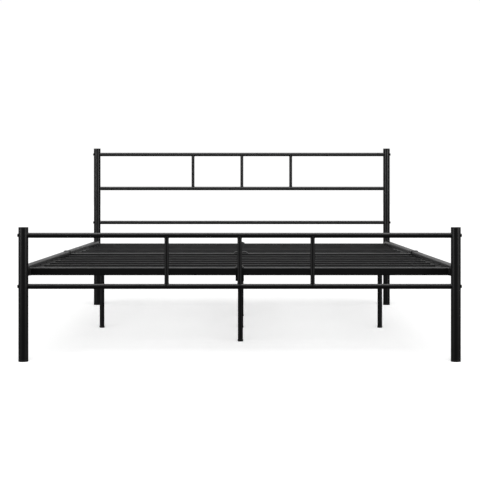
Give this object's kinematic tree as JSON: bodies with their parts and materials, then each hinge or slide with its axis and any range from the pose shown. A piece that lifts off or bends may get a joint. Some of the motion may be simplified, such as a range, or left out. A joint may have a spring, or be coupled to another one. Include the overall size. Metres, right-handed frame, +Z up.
{
  "type": "bed frame",
  "caption": "Tubular steel platform bed frame with an open-rail headboard, a low footboard, a slatted deck and a centre beam on support legs.",
  "frame": {"origin": "on the floor, under the middle of the bed", "axes": "+Y from the foot to the head, +X to the right of somebody who stands at the foot and faces the headboard, +Z up"},
  "size_m": [1.5316, 2.108, 0.805],
  "materials": {
    "frame_coat": "satin black powder coat",
    "slat_coat": "thin satin black powder coat",
    "moulded_plastic": "moulded black plastic",
    "blackened_steel": "black oxide"
  },
  "bodies": {
    "root": {"foot_post_left": "frame_coat", "foot_post_cap_left": "moulded_plastic", "foot_post_glide_left": "moulded_plastic", "foot_post_right": "frame_coat", "foot_post_cap_right": "moulded_plastic", "foot_post_glide_right": "moulded_plastic", "head_post_left": "frame_coat", "head_post_cap_left": "moulded_plastic", "head_post_glide_left": "moulded_plastic", "head_post_right": "frame_coat", "head_post_cap_right": "moulded_plastic", "head_post_glide_right": "moulded_plastic", "headboard_top_rail": "frame_coat", "headboard_middle_rail": "frame_coat", "headboard_bottom_rail": "frame_coat", "footboard_top_rail": "frame_coat", "footboard_bottom_rail": "frame_coat", "headboard_spindle_left": "frame_coat", "headboard_spindle_centre": "frame_coat", "headboard_spindle_right": "frame_coat", "headboard_bolt_top_left": "blackened_steel", "headboard_bolt_top_right": "blackened_steel", "headboard_bolt_bottom_left": "blackened_steel", "headboard_bolt_bottom_right": "blackened_steel", "footboard_spindle_left": "frame_coat", "footboard_spindle_centre": "frame_coat", "footboard_spindle_right": "frame_coat", "footboard_bolt_top_left": "blackened_steel", "footboard_bolt_top_right": "blackened_steel", "footboard_bolt_bottom_left": "blackened_steel", "footboard_bolt_bottom_right": "blackened_steel", "side_rail_left_foot_half": "frame_coat", "side_rail_left_head_half": "frame_coat", "side_rail_right_foot_half": "frame_coat", "side_rail_right_head_half": "frame_coat", "foot_cross_rail": "frame_coat", "middle_cross_rail": "frame_coat", "head_cross_rail": "frame_coat", "centre_beam_foot_half": "frame_coat", "centre_beam_head_half": "frame_coat", "slat_01": "slat_coat", "slat_02": "slat_coat", "slat_03": "slat_coat", "slat_04": "slat_coat", "slat_05": "slat_coat", "slat_06": "slat_coat", "slat_07": "slat_coat", "slat_08": "slat_coat", "slat_09": "slat_coat", "slat_10": "slat_coat", "slat_11": "slat_coat", "slat_12": "slat_coat", "slat_13": "slat_coat", "slat_14": "slat_coat", "support_leg_left": "frame_coat", "support_leg_centre": "frame_coat", "support_leg_right": "frame_coat", "support_leg_foot": "frame_coat", "support_leg_head": "frame_coat"}
  },
  "joints": []
}
